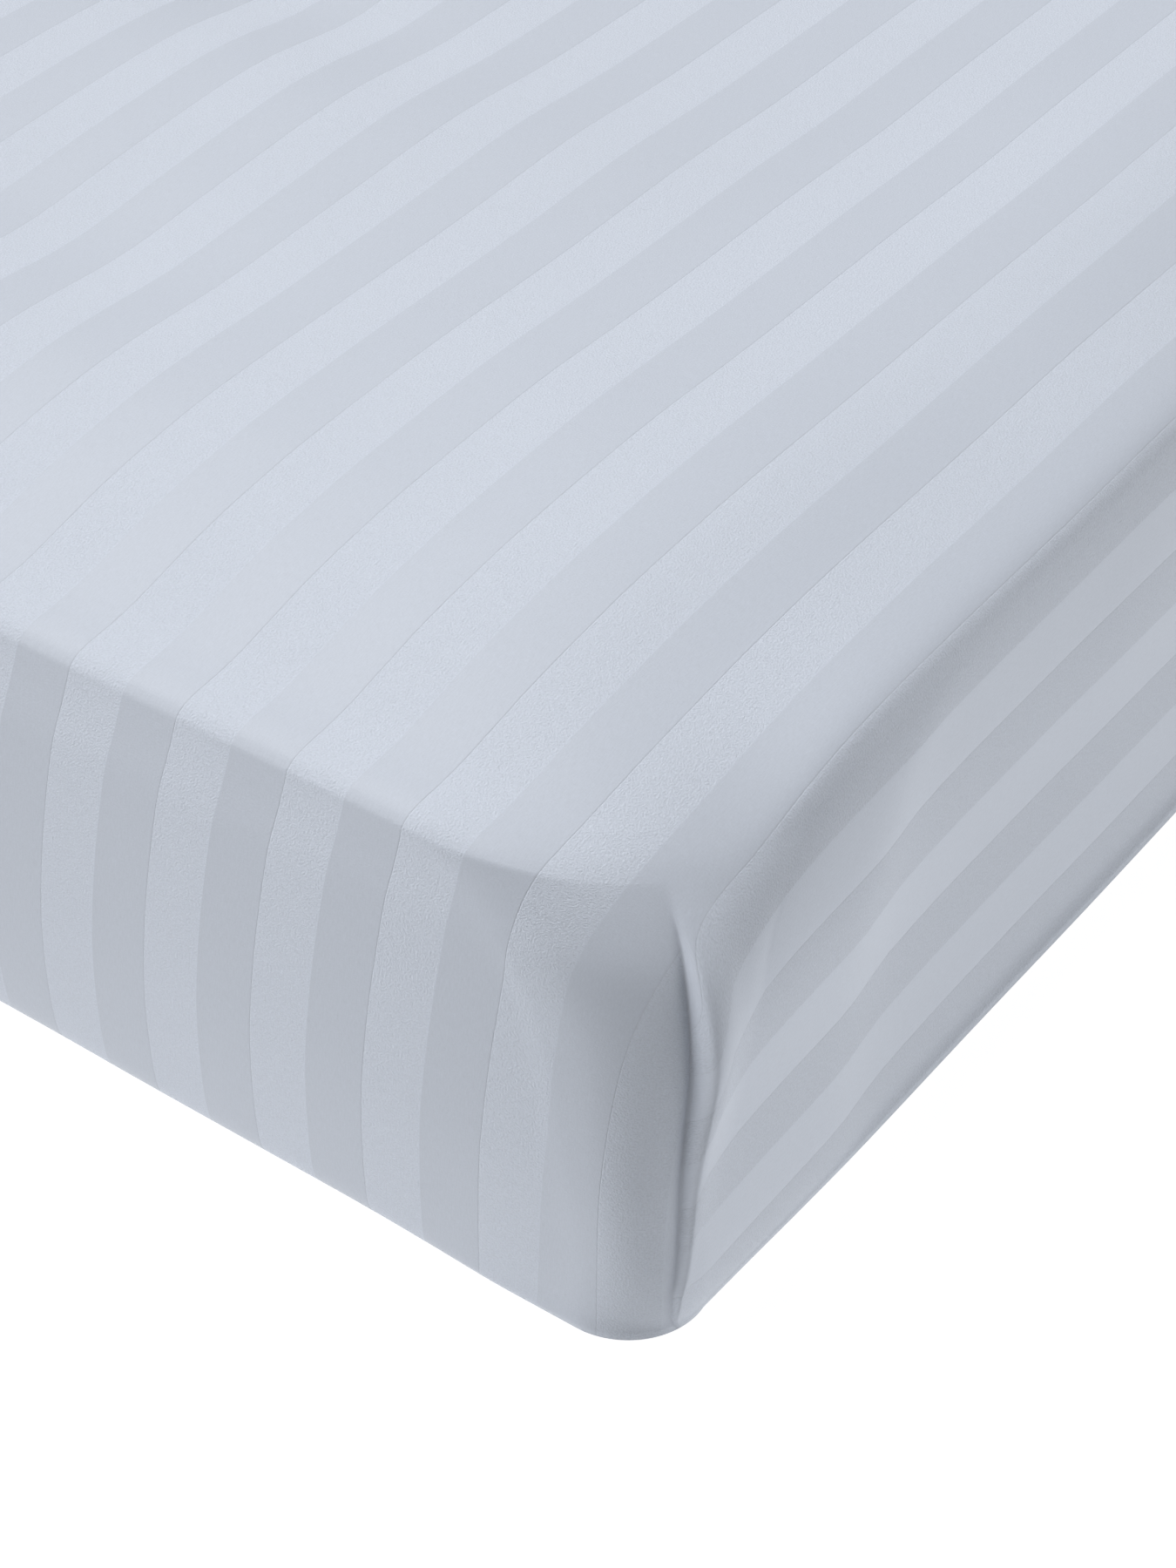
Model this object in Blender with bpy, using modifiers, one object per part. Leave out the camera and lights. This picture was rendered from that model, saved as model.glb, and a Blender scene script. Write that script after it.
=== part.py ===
"""Fitted sheet pulled over a double mattress.

Metres, +Z up.  X runs across the bed, Y along it with the foot end at -Y, and the origin is the
middle of the underside.  The cloth is one skin: a grid of stations over the top of the mattress
whose border is carried down the walls and in under the mattress to the hem.  Each station is then
given its place on the made-up bed, and the skin is thickened inwards.  The mattress is formed from
the same stations, a little smaller, so that the cloth lies close on it all over.
"""

import math

import bmesh
import bpy

# ---- driving dimensions ----
BED_WIDTH = 1.3474          # over the cloth, at the foot of the walls
BED_LENGTH = 1.9036
CLOTH = 0.002               # thickness of the cloth, with its give
CLEARANCE = 0.0006          # between the cloth and the mattress on its flats
HEM_REACH = 0.120           # how far the cloth turns in under the mattress
REBATE_GAP = 0.010          # from the hem to the middle of the mattress's underside
RIM_RADIUS = 0.125          # corner of the bed, seen from above, at the rim of the top
TOP = 0.2440                # height of the top away from its edges
RIM_HEIGHT = 0.213          # height of the rim where a wall meets the top, away from the corners

# ---- walls, from the rim of the top down to the hem ----
# side_in and foot_in: how far the wall stands in from the bed's outline, on its sides and ends
# height: above the floor; radius: of the corner in plan; crease: the corner crease's place, an angle
# roll: share of the roll beside the crease; spread: its width
# swell, flare: shares of the side wall's swell by a corner, and of the floor outline's flare
WALL = (
    # side_in, foot_in, height, radius, crease, roll, spread, swell, flare
    (0.0322, 0.0390, RIM_HEIGHT, RIM_RADIUS, 0.680, 0.10, 1.30, 0.00, 0.00),
    (0.0300, 0.0363, 0.2070, 0.1160, 0.660, 0.50, 1.30, 0.10, 0.00),
    (0.0272, 0.0315, 0.1970, 0.1020, 0.600, 1.30, 1.25, 0.25, 0.00),
    (0.0237, 0.0231, 0.1810, 0.0850, 0.500, 1.80, 1.15, 0.60, 0.00),
    (0.0202, 0.0172, 0.1630, 0.0740, 0.425, 1.60, 0.95, 0.90, 0.00),
    (0.0166, 0.0089, 0.1310, 0.0620, 0.320, 1.00, 0.60, 1.00, 0.00),
    (0.0142, 0.0037, 0.1030, 0.0550, 0.305, 0.80, 0.42, 1.00, 0.00),
    (0.0120, 0.0010, 0.0810, 0.0500, 0.295, 0.60, 0.30, 1.00, 0.00),
    (0.0095, 0.0000, 0.0560, 0.0460, 0.310, 0.45, 0.22, 1.00, 0.00),
    (0.0071, 0.0000, 0.0370, 0.0440, 0.360, 0.35, 0.18, 0.90, 0.05),
    (0.0052, 0.0008, 0.0160, 0.0440, 0.450, 0.20, 0.18, 0.50, 0.25),
    (0.0000, 0.0024, 0.0060, 0.0440, 0.480, 0.00, 0.18, 0.00, 1.00),
    (0.0120, 0.0144, 0.0000, 0.0370, 0.480, 0.00, 0.18, 0.00, 1.00),
    (HEM_REACH, HEM_REACH, 0.0000, 0.0200, 0.480, 0.00, 0.18, 0.00, 0.50),
)
HEM = len(WALL) - 1

# ---- crown: how far the top lies below TOP at a distance in from the rim, at ends and at sides ----
END_DROP = (
    # inward, drop
    (0.000, 0.0310),
    (0.006, 0.0271),
    (0.014, 0.0255),
    (0.028, 0.0244),
    (0.044, 0.0222),
    (0.060, 0.0186),
    (0.078, 0.0144),
    (0.094, 0.0108),
    (0.126, 0.0058),
    (0.174, 0.0012),
    (0.222, 0.0000),
)
SIDE_DROP = (
    # inward, drop
    (0.000, 0.0310),
    (0.004, 0.0251),
    (0.010, 0.0218),
    (0.018, 0.0195),
    (0.036, 0.0161),
    (0.068, 0.0106),
    (0.100, 0.0056),
    (0.132, 0.0020),
    (0.170, 0.0003),
    (0.225, 0.0000),
)
DROP_POWER = 1.4            # how the two drops add where they cross near a corner

# ---- long soft waves of the top, and a few shallow ones of the rest of the bed ----
WAVES = (
    # x, y, half length across, half width along, turn in degrees, height
    (0.105, -0.480, 0.130, 0.072, 4.0, 0.0055),
    (0.245, -0.428, 0.090, 0.058, 10.0, 0.0030),
    (0.385, -0.636, 0.120, 0.066, 0.0, 0.0032),
    (0.070, -0.665, 0.130, 0.062, 6.0, -0.0070),
    (0.010, -0.392, 0.100, 0.045, 2.0, -0.0060),
    (0.400, -0.320, 0.100, 0.062, 0.0, -0.0022),
    (0.575, -0.790, 0.090, 0.085, 0.0, -0.0055),
    (0.610, -0.440, 0.080, 0.080, 0.0, 0.0030),
    (-0.300, -0.560, 0.130, 0.070, -10.0, 0.0045),
    (-0.260, -0.700, 0.120, 0.060, 5.0, -0.0030),
    (-0.590, -0.790, 0.080, 0.090, 0.0, -0.0040),
    (-0.320, -0.050, 0.160, 0.090, -4.0, -0.0030),
    (0.050, 0.160, 0.170, 0.100, 5.0, 0.0035),
    (-0.180, 0.380, 0.180, 0.110, -8.0, 0.0040),
    (0.240, 0.480, 0.170, 0.110, 6.0, -0.0030),
    (0.060, 0.680, 0.190, 0.100, 0.0, 0.0030),
    (0.580, 0.800, 0.090, 0.080, 0.0, -0.0035),
    (-0.585, 0.790, 0.080, 0.080, 0.0, -0.0045),
)

# ---- the roll of spare cloth on the long side of each corner's crease ----
ROLLS = (
    # side of the bed in x, end of the bed in y, share of the roll's height
    (1, -1, 1.00),
    (-1, -1, 0.72),
    (1, 1, 0.66),
    (-1, 1, 0.80),
)
ROLL = (
    # past the crease, towards the long side; how far the cloth stands out from the wall there
    (-0.030, 0.0002),
    (-0.015, 0.0004),
    (-0.006, -0.0006),
    (0.000, -0.0028),
    (0.003, -0.0018),
    (0.008, 0.0010),
    (0.016, 0.0034),
    (0.021, 0.0028),
    (0.030, 0.0012),
    (0.060, 0.0000),
)
ROLL_RIDGE = 0.016          # from the crease to the roll's ridge, where the swell begins in full
CREASE_REACH = 0.090        # how far the stations beside a crease drift along with it

# ---- unevenness of the walls, by the distance along a side or an end from a corner's arc ----
SWELL = (
    # along the side, out
    (0.000, 0.0056),
    (0.060, 0.0058),
    (0.095, 0.0056),
    (0.115, 0.0044),
    (0.135, 0.0014),
    (0.155, -0.0004),
    (0.220, -0.0018),
    (0.280, -0.0018),
    (0.360, -0.0005),
    (0.440, 0.0000),
)
SIDE_FLARE = (
    # along the side, out
    (0.000, -0.0074),
    (0.030, -0.0064),
    (0.075, -0.0046),
    (0.125, -0.0031),
    (0.230, -0.0021),
    (0.350, -0.0005),
    (0.440, 0.0000),
)
END_FLARE = (
    # along the end, out
    (0.040, 0.0000),
    (0.090, -0.0019),
    (0.125, -0.0031),
    (0.180, -0.0040),
    (0.260, -0.0052),
    (0.340, -0.0076),
    (0.420, -0.0082),
)

# ---- stations: corner ones as shares of the corner, the rest as distances from the corner's side ----
CREASE_STATION = math.sin(WALL[0][4]) * math.sqrt(2.0)
CORNER_ALONG = (0.0, 0.30, 0.52, 0.70, 0.80, CREASE_STATION, 1.0)
CORNER_ACROSS = (0.0, 0.28, 0.52, 0.74, 0.89, 1.0)
NEAR_STEPS = (0.055, 0.105, 0.150)
FAR_STEP_ACROSS = 0.100
FAR_STEP_FOOT = 0.062
FAR_STEP_HEAD = 0.100


def lerp_table(value, rows):
    """Value of the second column of rows at value in the first, straight between rows."""
    if value <= rows[0][0]:
        return rows[0][1]
    for (start, low), (end, high) in zip(rows, rows[1:]):
        if value <= end:
            return low + (high - low) * (value - start) / (end - start)
    return rows[-1][1]


def half_stations(straight, far_step, corner):
    """Stations of one half, middle to edge.

    A station up to 1 is a share of the straight part, and one from 1 to 2 lies in the corner.
    """
    plain = straight - NEAR_STEPS[-1]
    count = max(1, round(plain / far_step))
    stations = [plain * number / count / straight for number in range(count + 1)]
    stations += [(straight - step) / straight for step in reversed(NEAR_STEPS[:-1])]
    stations += [1.0 + share for share in corner]
    return stations


def level_halves(level):
    """Half width and half length of the bed at a level of the walls."""
    side_in, foot_in = WALL[level][:2]
    return BED_WIDTH / 2 - side_in, BED_LENGTH / 2 - foot_in


def bed_stations():
    """Stations across the bed and along it, as two rising lists."""
    half_x, half_y = level_halves(0)
    across = half_stations(half_x - RIM_RADIUS, FAR_STEP_ACROSS, CORNER_ACROSS)
    to_foot = half_stations(half_y - RIM_RADIUS, FAR_STEP_FOOT, CORNER_ALONG)
    to_head = half_stations(half_y - RIM_RADIUS, FAR_STEP_HEAD, CORNER_ALONG)
    lines_x = [-value for value in reversed(across[1:])] + across
    lines_y = [-value for value in reversed(to_foot[1:])] + to_head
    return lines_x, lines_y


def outline_place(station_x, station_y, half_x, half_y, radius):
    """Place of a pair of stations on a rounded rectangle, by the elliptic map of its corners."""
    corner_x = max(0.0, abs(station_x) - 1.0)
    corner_y = max(0.0, abs(station_y) - 1.0)
    straight_x = min(1.0, abs(station_x)) * (half_x - radius)
    straight_y = min(1.0, abs(station_y)) * (half_y - radius)
    round_x = corner_x * math.sqrt(1.0 - corner_y ** 2 / 2.0)
    round_y = corner_y * math.sqrt(1.0 - corner_x ** 2 / 2.0)
    x = math.copysign(straight_x + radius * round_x, station_x)
    y = math.copysign(straight_y + radius * round_y, station_y)
    return x, y


def wave_height(x, y):
    """Sum of the soft waves, each a bell longer across the bed than along it."""
    total = 0.0
    for wave_x, wave_y, length, width, turn, height in WAVES:
        angle = math.radians(turn)
        along = (x - wave_x) * math.cos(angle) + (y - wave_y) * math.sin(angle)
        across = (y - wave_y) * math.cos(angle) - (x - wave_x) * math.sin(angle)
        total += height * math.exp(-((along / length) ** 2) - (across / width) ** 2)
    return total


def top_height(x, y):
    """Height of the crowned top: the drops towards the nearest end and side add, softly."""
    half_x, half_y = level_halves(0)
    end_drop = lerp_table(half_y - abs(y), END_DROP)
    side_drop = lerp_table(half_x - abs(x), SIDE_DROP)
    drop = (end_drop ** DROP_POWER + side_drop ** DROP_POWER) ** (1.0 / DROP_POWER)
    return TOP - drop + wave_height(x, y)


def top_place(station_x, station_y):
    """Place of a station of the top."""
    half_x, half_y = level_halves(0)
    x, y = outline_place(station_x, station_y, half_x, half_y, RIM_RADIUS)
    return x, y, top_height(x, y)


def wall_run(station_x, station_y, half_x, half_y, radius):
    """Place of a border station round the walls, from where the long side meets the corner's arc.

    It is negative along the side, and past a quarter of the corner's circle along the end.
    """
    if abs(station_x) >= 2.0:
        angle = math.asin(max(0.0, abs(station_y) - 1.0) * math.sqrt(0.5))
        return radius * angle - max(0.0, 1.0 - abs(station_y)) * (half_y - radius)
    angle = math.pi / 2 - math.asin(max(0.0, abs(station_x) - 1.0) * math.sqrt(0.5))
    return radius * angle + max(0.0, 1.0 - abs(station_x)) * (half_x - radius)


def rise_to(value, end):
    """Smooth rise from 0 at 0 to 1 at end."""
    share = min(1.0, max(0.0, value / end))
    return share * share * (3.0 - 2.0 * share)


def wall_out(run, crease, level, corner, pleated):
    """How far the wall stands out from its plain section at a place round the walls."""
    radius, _, roll, spread, swell, flare = WALL[level][3:]
    arc = radius * math.pi / 2
    turned = min(1.0, max(0.0, run / arc))
    from_side = lerp_table(-run, SIDE_FLARE)
    from_end = lerp_table(run - arc, END_FLARE)
    past = (crease - run) / spread
    out = flare * (from_side + (from_end - from_side) * turned)
    out += swell * corner * lerp_table(-run, SWELL) * rise_to(past, ROLL_RIDGE)
    lift = roll * corner * lerp_table(past, ROLL)
    return out + (lift if pleated else min(lift, 0.0))


def wall_place(station_x, station_y, level, pleated):
    """Place of a border station on one level of the walls."""
    height, radius, crease_angle = WALL[level][2:5]
    half_x, half_y = level_halves(level)
    run = wall_run(station_x, station_y, half_x, half_y, radius)
    crease = radius * crease_angle
    column = radius * WALL[0][4]
    run += (crease - column) * math.exp(-2.0 * ((run - column) / CREASE_REACH) ** 2)
    corner = next(share for x, y, share in ROLLS if station_x * x >= 0 and station_y * y >= 0)
    reach = radius + wall_out(run, crease, level, corner, pleated)
    arc = radius * math.pi / 2
    angle = min(math.pi / 2, max(0.0, run / radius))
    x = half_x - radius + reach * math.cos(angle) - max(0.0, run - arc)
    y = half_y - radius + reach * math.sin(angle) + min(0.0, run)
    rim_x, rim_y = outline_place(station_x, station_y, *level_halves(0), RIM_RADIUS)
    z = height * top_height(rim_x, rim_y) / RIM_HEIGHT
    return math.copysign(x, station_x), math.copysign(y, station_y), z


def station_box(name, lines_x, lines_y, levels):
    """Open box in station space: a flat grid whose border is drawn down one step for each level."""
    mesh = bpy.data.meshes.new(name)
    bm = bmesh.new()
    bmesh.ops.create_grid(bm, x_segments=len(lines_x) - 1, y_segments=len(lines_y) - 1, size=1.0)
    for vert in bm.verts:
        vert.co.x = round((vert.co.x + 1.0) / 2.0 * (len(lines_x) - 1))
        vert.co.y = round((vert.co.y + 1.0) / 2.0 * (len(lines_y) - 1))
    rim = [edge for edge in bm.edges if edge.is_boundary]
    for _ in range(levels):
        drawn = bmesh.ops.extrude_edge_only(bm, edges=rim)["geom"]
        for vert in (item for item in drawn if isinstance(item, bmesh.types.BMVert)):
            vert.co.z -= 1.0
        rim = [item for item in drawn if isinstance(item, bmesh.types.BMEdge) and item.is_boundary]
    return mesh, bm


def bed_skin(name, pleated):
    """Open skin over the top, the walls and the underside's edge, down to the hem.

    Returns the mesh it is for, the skin as a bmesh, and its hem's points.
    """
    lines_x, lines_y = bed_stations()
    mesh, bm = station_box(name, lines_x, lines_y, HEM)
    hem = [vert for vert in bm.verts if round(-vert.co.z) == HEM]
    for vert in bm.verts:
        station_x = lines_x[round(vert.co.x)]
        station_y = lines_y[round(vert.co.y)]
        level = round(-vert.co.z)
        if level or max(abs(station_x), abs(station_y)) >= 2.0:
            vert.co = wall_place(station_x, station_y, level, pleated)
        else:
            vert.co = top_place(station_x, station_y)
    bmesh.ops.recalc_face_normals(bm, faces=bm.faces)
    return mesh, bm, hem


def add_object(name, mesh, collection, material):
    """Put a finished mesh into the collection as an object with its material."""
    mesh.materials.append(material)
    body = bpy.data.objects.new(name, mesh)
    collection.objects.link(body)
    return body


def fabric(name, colour, roughness):
    """Principled material of a cloth."""
    material = bpy.data.materials.new(name)
    material.use_nodes = True
    shader = material.node_tree.nodes["Principled BSDF"]
    shader.inputs["Base Color"].default_value = (*colour, 1.0)
    shader.inputs["Roughness"].default_value = roughness
    shader.inputs["Metallic"].default_value = 0.0
    return material


def build_sheet(collection):
    """The fitted sheet: one skin over top, walls and underside rim, thickened inwards."""
    mesh, bm, _ = bed_skin("fitted_sheet", True)
    bm.to_mesh(mesh)
    bm.free()
    mesh.shade_smooth()
    sheet = add_object("fitted_sheet", mesh, collection, fabric("sateen_stripe", (0.62, 0.68, 0.76), 0.6))
    skin = sheet.modifiers.new("cloth", "SOLIDIFY")
    skin.thickness = CLOTH
    skin.offset = -1.0
    skin.use_even_offset = True
    return sheet


def build_mattress(collection):
    """The mattress: the bed's form drawn in under the cloth, its middle bearing on the floor."""
    mesh, bm, hem = bed_skin("mattress", False)
    moves = [(vert, vert.normal * vert.calc_shell_factor() * (CLOTH + CLEARANCE)) for vert in bm.verts]
    for vert, move in moves:
        vert.co -= move
    for vert in hem:
        vert.co.x -= math.copysign(REBATE_GAP, vert.co.x)
        vert.co.y -= math.copysign(REBATE_GAP, vert.co.y)
    rebate = [edge for edge in bm.edges if edge.is_boundary]
    step = bmesh.ops.extrude_edge_only(bm, edges=rebate)["geom"]
    for vert in (item for item in step if isinstance(item, bmesh.types.BMVert)):
        vert.co.z = 0.0
    bmesh.ops.edgeloop_fill(bm, edges=[edge for edge in bm.edges if edge.is_boundary])
    bmesh.ops.recalc_face_normals(bm, faces=bm.faces)
    bm.to_mesh(mesh)
    bm.free()
    mesh.shade_smooth()
    return add_object("mattress", mesh, collection, fabric("ticking", (0.82, 0.81, 0.78), 0.8))


def main():
    """Clear the scene and build the mattress with the sheet on it."""
    for item in list(bpy.data.objects):
        bpy.data.objects.remove(item)
    collection = bpy.data.collections.new("fitted_sheet_on_mattress")
    bpy.context.scene.collection.children.link(collection)
    build_mattress(collection)
    build_sheet(collection)


main()
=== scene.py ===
"""Fitted sheet with a woven satin stripe, pulled over a double mattress.

Metres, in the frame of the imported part: +Z up, the bed along Y with its foot end at -Y, and the
origin in the middle of the underside.  The sheet and the mattress are surfaces over the same grid
of stations: the grid covers the top, and its border is carried down the walls and in underneath.
The cloth keeps its own flat coordinates in a UV map, in metres, and its stripes and weave follow
them.
"""

from __future__ import annotations

import logging
import math
from dataclasses import dataclass, field
from enum import Enum, IntEnum

import bpy
import numpy as np
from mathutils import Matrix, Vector

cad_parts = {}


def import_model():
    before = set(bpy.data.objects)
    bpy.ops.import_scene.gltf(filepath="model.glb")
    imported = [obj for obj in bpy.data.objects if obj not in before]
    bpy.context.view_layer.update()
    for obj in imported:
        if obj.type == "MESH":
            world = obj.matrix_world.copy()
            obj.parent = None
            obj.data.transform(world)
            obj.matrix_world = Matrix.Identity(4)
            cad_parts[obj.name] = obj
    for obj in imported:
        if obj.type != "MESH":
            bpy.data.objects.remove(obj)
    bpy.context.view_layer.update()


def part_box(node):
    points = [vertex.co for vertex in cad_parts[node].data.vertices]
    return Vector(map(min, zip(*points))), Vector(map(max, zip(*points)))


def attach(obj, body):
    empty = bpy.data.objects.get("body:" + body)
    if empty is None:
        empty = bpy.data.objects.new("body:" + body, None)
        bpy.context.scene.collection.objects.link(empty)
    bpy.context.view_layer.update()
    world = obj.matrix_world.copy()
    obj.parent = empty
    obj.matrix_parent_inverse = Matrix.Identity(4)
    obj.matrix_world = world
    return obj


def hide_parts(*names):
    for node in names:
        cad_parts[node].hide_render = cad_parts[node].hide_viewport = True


Array = np.ndarray
Socket = bpy.types.NodeSocket

LOG = logging.getLogger("fitted_sheet")
CLOTH_MAP = "cloth"
CALM_MAP = "calm"
STEP_GROWTH = 1.12  # how much each step of the grid is longer than the one nearer to the rim
CORNER_CROWDING = 1.3  # power that draws the lines of a corner towards the rim
GIRTH_SAMPLES = 281  # places where the crown's section is measured
CORNER_CUT = 0.75  # share of the square of cloth at each corner that is cut away
GRAIN_GAIN = 4.0  # brings noise of 0 to 1, less its middle, to about -1 to 1
QUARTER = math.pi / 2.0
WHITE = (1.0, 1.0, 1.0, 1.0)


class Panel(Enum):
    """Part of the cloth that a stretch of wall is cut in one with."""

    END = "foot or head wall"
    SIDE = "long side wall"


class Column(IntEnum):
    """Columns of WALL, explained there."""

    DOWN = 0
    HEIGHT = 1
    SIDE_IN = 2
    FOOT_IN = 3
    RADIUS = 4
    ROLL = 5
    SPREAD = 6
    CREASE = 7
    SWELL = 8
    FLARE = 9


def smoothstep(value: Array, low: float, high: float) -> Array:
    """Rise smoothly from 0 at low to 1 at high.

    Args:
        value: Where to read the rise.
        low: Where it starts.
        high: Where it ends.

    Returns:
        3t^2 - 2t^3, with t the clamped share of the way from low to high.
    """
    share = np.clip((value - low) / (high - low), 0.0, 1.0)
    return share * share * (3.0 - 2.0 * share)


def graded(length: float, first: float, last: float, ratio: float) -> Array:
    """Distances along a stretch, with steps that grow from first towards last.

    Args:
        length: Length of the stretch.
        first: First step.
        last: Largest step.
        ratio: How much longer each step is than the one before it.

    Returns:
        Rising distances from 0 to length: running sums of the steps, scaled to end at length.
    """
    steps = np.minimum(first * ratio ** np.arange(math.ceil(length / first)), last)
    places = np.concatenate(([0.0], np.cumsum(steps)))
    count = int(np.searchsorted(places, length))
    return places[: count + 1] * length / places[count]


def cells(number: Array) -> Array:
    """Faces between the lines of a grid of point numbers, four numbers a face."""
    quads = (number[:-1, :-1], number[1:, :-1], number[1:, 1:], number[:-1, 1:])
    return np.stack(quads, axis=-1).reshape(-1, 4)


def curve(rows: tuple[tuple[float, ...], ...], where: Array, column: int = 1) -> Array:
    """Read a smooth curve through one column of a short table, over its first column.

    Between two rows it is a cubic.  Its slope at a row is the harmonic mean of the straight slopes
    on both sides, or 0 where they differ in sign, so the curve never swings past a row.

    Args:
        rows: The table.
        where: Places along the first column, held at its ends.
        column: Number of the column.

    Returns:
        The column's value at each place.
    """
    at, value = np.array([(row[0], row[column]) for row in rows]).T
    width = np.diff(at)
    slope = np.diff(value) / width
    inner = np.zeros(len(slope) - 1)
    same = slope[:-1] * slope[1:] > 0.0
    inner[same] = 2.0 * (slope[:-1] * slope[1:])[same] / (slope[:-1] + slope[1:])[same]
    tangent = np.concatenate(([slope[0]], inner, [slope[-1]]))
    where = np.clip(where, at[0], at[-1])
    row = np.clip(np.searchsorted(at, where, side="right") - 1, 0, len(slope) - 1)
    share = (where - at[row]) / width[row]
    start = (1.0 + 2.0 * share) * (1.0 - share) ** 2 * value[row]
    end = share**2 * (3.0 - 2.0 * share) * value[row + 1]
    leave = share * (1.0 - share) ** 2 * width[row] * tangent[row]
    arrive = share**2 * (share - 1.0) * width[row] * tangent[row + 1]
    return start + end + leave + arrive


# ---- tables of the made-up bed ----
WALL = (
    # down: cloth length from the rim; height above the floor at the middle of a wall
    # side_in, foot_in: how far the wall stands in from the outline; radius: the corner's, in plan
    # roll: share of the corner roll; spread: of its width; crease: its place, as an angle
    # swell, flare: shares of the walls' swell by a corner and of the outline's flare
    # down, height, side_in, foot_in, radius, roll, spread, crease, swell, flare
    (0.0000, 0.2130, 0.0322, 0.0390, 0.1250, 0.00, 1.30, 0.680, 0.00, 0.00),
    (0.0065, 0.2070, 0.0300, 0.0363, 0.1160, 0.30, 1.30, 0.660, 0.15, 0.00),
    (0.0170, 0.1970, 0.0272, 0.0315, 0.1020, 1.05, 1.25, 0.600, 0.35, 0.00),
    (0.0340, 0.1810, 0.0237, 0.0231, 0.0850, 1.80, 1.18, 0.500, 0.65, 0.00),
    (0.0530, 0.1630, 0.0202, 0.0172, 0.0740, 2.05, 1.05, 0.425, 0.90, 0.00),
    (0.0695, 0.1470, 0.0180, 0.0128, 0.0670, 2.00, 0.92, 0.365, 1.00, 0.00),
    (0.0860, 0.1310, 0.0166, 0.0089, 0.0620, 1.60, 0.80, 0.320, 1.00, 0.00),
    (0.1145, 0.1030, 0.0142, 0.0037, 0.0550, 0.85, 0.62, 0.305, 1.00, 0.00),
    (0.1365, 0.0810, 0.0120, 0.0010, 0.0500, 0.45, 0.48, 0.295, 0.95, 0.00),
    (0.1615, 0.0560, 0.0095, 0.0000, 0.0460, 0.22, 0.34, 0.310, 0.90, 0.00),
    (0.1810, 0.0370, 0.0071, 0.0000, 0.0440, 0.12, 0.26, 0.360, 0.80, 0.05),
    (0.1912, 0.0270, 0.0061, 0.0003, 0.0440, 0.07, 0.22, 0.420, 0.70, 0.10),
    (0.2013, 0.0170, 0.0054, 0.0007, 0.0450, 0.04, 0.20, 0.450, 0.55, 0.20),
    (0.2083, 0.0100, 0.0048, 0.0013, 0.0455, 0.06, 0.18, 0.470, 0.40, 0.35),
    (0.2125, 0.0060, 0.0037, 0.0018, 0.0460, 0.03, 0.18, 0.480, 0.25, 0.60),
    (0.2160, 0.0032, 0.0018, 0.0025, 0.0455, 0.00, 0.18, 0.480, 0.10, 0.85),
    (0.2187, 0.0010, 0.0000, 0.0035, 0.0440, 0.00, 0.18, 0.480, 0.00, 1.00),
    (0.2223, 0.0000, 0.0033, 0.0062, 0.0420, 0.00, 0.18, 0.480, 0.00, 1.00),
    (0.2323, 0.0000, 0.0133, 0.0162, 0.0380, 0.00, 0.18, 0.480, 0.00, 1.00),
    (0.3388, 0.0000, 0.1200, 0.1200, 0.0200, 0.00, 0.18, 0.480, 0.00, 0.50),
)
END_DROP = (
    # inward from the rim of an end, drop below the middle of the top
    (0.0000, 0.0310),
    (0.0025, 0.0289),
    (0.0060, 0.0271),
    (0.0140, 0.0255),
    (0.0280, 0.0244),
    (0.0440, 0.0222),
    (0.0600, 0.0186),
    (0.0780, 0.0144),
    (0.0940, 0.0108),
    (0.1260, 0.0058),
    (0.1740, 0.0012),
    (0.2220, 0.0000),
    (0.2800, 0.0000),
)
SIDE_DROP = (
    # inward from the rim of a side, drop below the middle of the top
    (0.0000, 0.0310),
    (0.0015, 0.0280),
    (0.0040, 0.0251),
    (0.0095, 0.0220),
    (0.0185, 0.0194),
    (0.0365, 0.0160),
    (0.0685, 0.0106),
    (0.1000, 0.0056),
    (0.1320, 0.0020),
    (0.1700, 0.0003),
    (0.2250, 0.0000),
    (0.2800, 0.0000),
)
WAVES = (
    # x, y, half length across, half width along, turn in degrees, height
    (0.105, -0.480, 0.130, 0.072, 4.0, 0.0055),
    (0.245, -0.428, 0.090, 0.058, 10.0, 0.0030),
    (0.385, -0.636, 0.120, 0.066, 0.0, 0.0032),
    (0.070, -0.665, 0.130, 0.062, 6.0, -0.0070),
    (0.010, -0.392, 0.100, 0.045, 2.0, -0.0060),
    (0.400, -0.320, 0.100, 0.062, 0.0, -0.0022),
    (0.575, -0.790, 0.090, 0.085, 0.0, -0.0055),
    (0.640, -0.830, 0.045, 0.055, 0.0, -0.0090),
    (0.610, -0.440, 0.080, 0.080, 0.0, 0.0030),
    (-0.300, -0.560, 0.130, 0.070, -10.0, 0.0045),
    (-0.260, -0.700, 0.120, 0.060, 5.0, -0.0030),
    (-0.590, -0.790, 0.080, 0.090, 0.0, -0.0040),
    (-0.320, -0.050, 0.160, 0.090, -4.0, -0.0030),
    (0.050, 0.160, 0.170, 0.100, 5.0, 0.0035),
    (-0.180, 0.380, 0.180, 0.110, -8.0, 0.0040),
    (0.240, 0.480, 0.170, 0.110, 6.0, -0.0030),
    (0.060, 0.680, 0.190, 0.100, 0.0, 0.0030),
    (0.580, 0.800, 0.090, 0.080, 0.0, -0.0035),
    (-0.585, 0.790, 0.080, 0.080, 0.0, -0.0045),
)
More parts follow.
